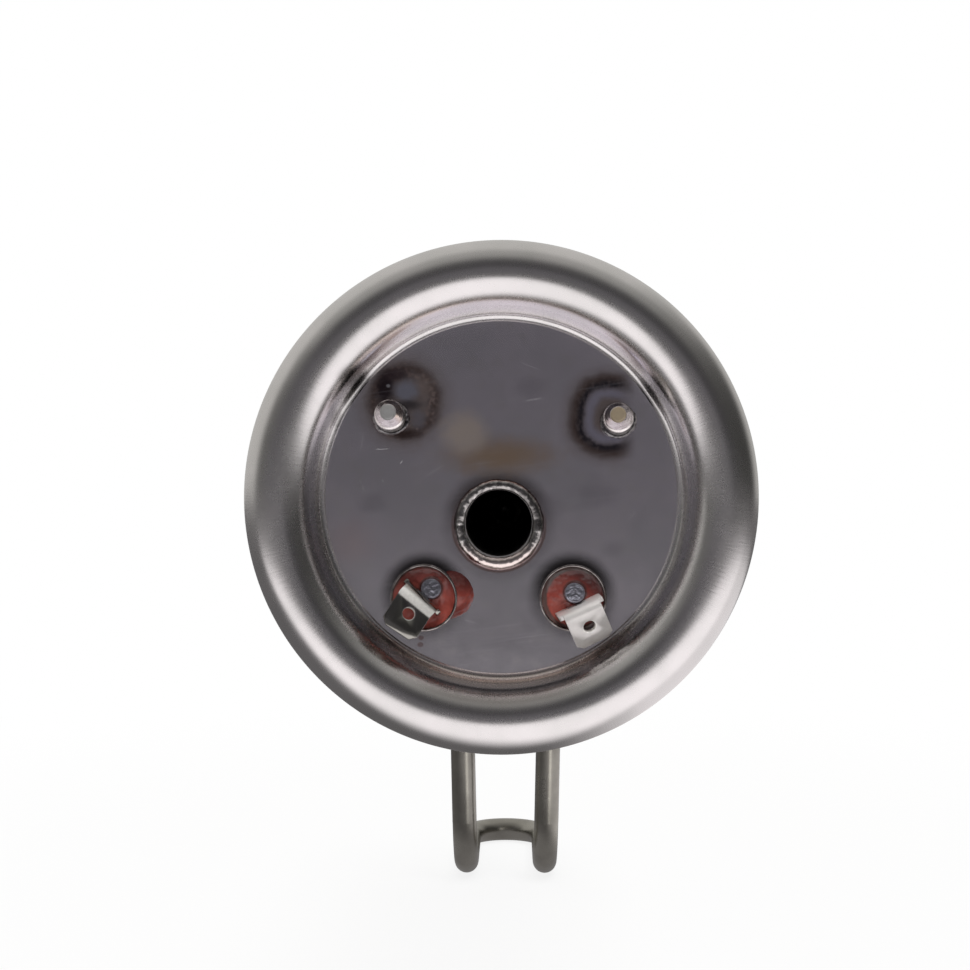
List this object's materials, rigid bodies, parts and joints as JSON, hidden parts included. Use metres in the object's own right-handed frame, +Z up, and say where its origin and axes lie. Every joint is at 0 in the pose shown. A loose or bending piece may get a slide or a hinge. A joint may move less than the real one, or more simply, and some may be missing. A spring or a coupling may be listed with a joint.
{
  "type": "water heater element",
  "caption": "Immersion heating element: a hairpin tube bent down and forward, on a round pressed flange with a thermostat pocket, welded studs and push-on tabs.",
  "frame": {"origin": "centre of the flange, on the plane where its rolled rim meets the gasket", "axes": "+Y from the dry side into the tank along the flange's axis, +X to the right as seen from the dry side, +Z up"},
  "size_m": [0.082, 0.3068, 0.1593],
  "materials": {
    "flange_steel": "pressed, dull bright",
    "pocket_steel": "drawn",
    "sheath_steel": "annealed, dark oxide",
    "weld_metal": "as welded",
    "tab_steel": "stamped, bright",
    "stud_steel": "rolled thread",
    "pin_steel": "cut end, dull",
    "coil_wire": "oxidised wire",
    "magnesia": "packed powder",
    "silicone": "glossy, brick red"
  },
  "bodies": {
    "root": {"flange_plate": "flange_steel", "thermostat_pocket": "pocket_steel", "pocket_weld": "weld_metal", "heating_sheath": "sheath_steel", "magnesia_core": "magnesia", "resistance_coil": "coil_wire", "cold_pin_left": "pin_steel", "cold_pin_right": "pin_steel", "end_sleeve_left": "flange_steel", "end_sleeve_right": "flange_steel", "sleeve_weld_left": "weld_metal", "sleeve_weld_right": "weld_metal", "silicone_seal_left": "silicone", "silicone_seal_right": "silicone", "silicone_spill": "silicone", "tab_left": "tab_steel", "tab_right": "tab_steel", "stud_left": "stud_steel", "stud_right": "stud_steel", "stud_weld_left": "weld_metal", "stud_weld_right": "weld_metal"}
  },
  "joints": []
}
